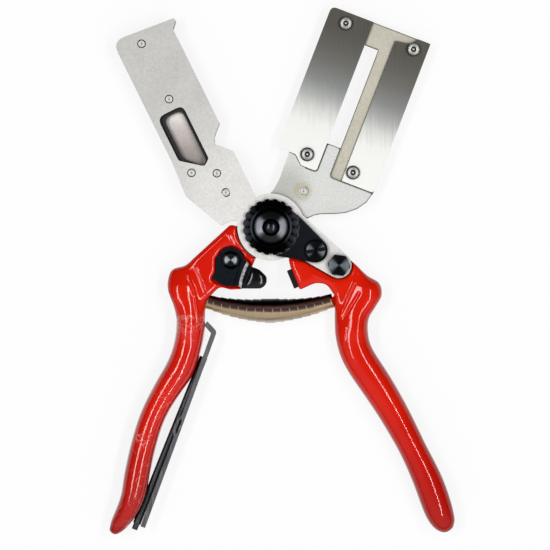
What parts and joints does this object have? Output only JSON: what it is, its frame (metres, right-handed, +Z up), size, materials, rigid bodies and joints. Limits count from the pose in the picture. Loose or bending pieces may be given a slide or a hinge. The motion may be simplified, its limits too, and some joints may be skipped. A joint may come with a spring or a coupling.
{
  "type": "grafting shears",
  "caption": "Bypass grafting shears lying open: a slotted carrier with flat blades closes on a windowed counter plate, with red dipped handles, a volute spring and a thumb catch.",
  "frame": {"origin": "on the main pivot's axis, in the plane that the shears rest on", "axes": "+X to the right and +Y towards the blades as the picture shows them, +Z up out of the resting plane along the pivot"},
  "size_m": [0.1434, 0.2186, 0.0176],
  "materials": {
    "red_forging": "gloss red coating over a forged metal handle",
    "red_grip": "glossy red dipped vinyl",
    "satin_steel": "fine satin, bead blasted look",
    "blade_steel": "ground and polished",
    "back_steel": "bright rolled sheet",
    "spacer_steel": "dark oxide sheet",
    "screw_steel": "turned, plated steel",
    "black_steel": "black oxide with turned rings",
    "black_plastic": "glossy black moulding",
    "black_rubber": "matte rubber",
    "spring_steel": "oiled straw-brown spring strip",
    "key_steel": "grey plated key steel",
    "key_black": "black oxide key steel"
  },
  "bodies": {
    "blade_side": {"carrier_plate": "satin_steel", "main_blade": "blade_steel", "second_blade": "blade_steel", "main_blade_screw_top": "screw_steel", "main_blade_screw_foot": "screw_steel", "second_blade_screw_top": "screw_steel", "second_blade_screw_foot": "screw_steel", "carrier_pin": "screw_steel", "left_handle": "red_forging", "left_grip": "red_grip", "catch_screw": "screw_steel", "volute_spring": "spring_steel", "bent_key": "key_steel", "straight_key": "key_black"},
    "counter_side": {"counter_plate": "satin_steel", "counter_spacer": "spacer_steel", "counter_back_plate": "back_steel", "counter_screw_1": "screw_steel", "counter_screw_2": "screw_steel", "counter_screw_3": "screw_steel", "counter_screw_4": "screw_steel", "counter_pin": "screw_steel", "pivot_bolt": "black_steel", "pivot_nut": "black_steel", "lock_segment": "black_steel", "segment_screw": "black_steel", "tang_bolt": "black_steel", "right_handle": "red_forging", "right_grip": "red_grip", "buffer_pad": "black_rubber"},
    "catch": {"catch_lever": "black_steel", "catch_thumb": "black_plastic"}
  },
  "joints": [
    {"name": "main_pivot", "type": "hinge", "parent": "blade_side", "child": "counter_side", "pos_m": [0, 0, 0], "axis": [0, 0, -1], "range_deg": [0, 44], "stiffness_Nm_per_rad": 0.6, "springref_deg": -14.32, "deforming": ["volute_spring"]},
    {"name": "catch_pivot", "type": "hinge", "parent": "blade_side", "child": "catch", "pos_m": [-0.0166, -0.0136, 0.0108], "axis": [0, 0, 1], "range_deg": [0, 6]}
  ]
}
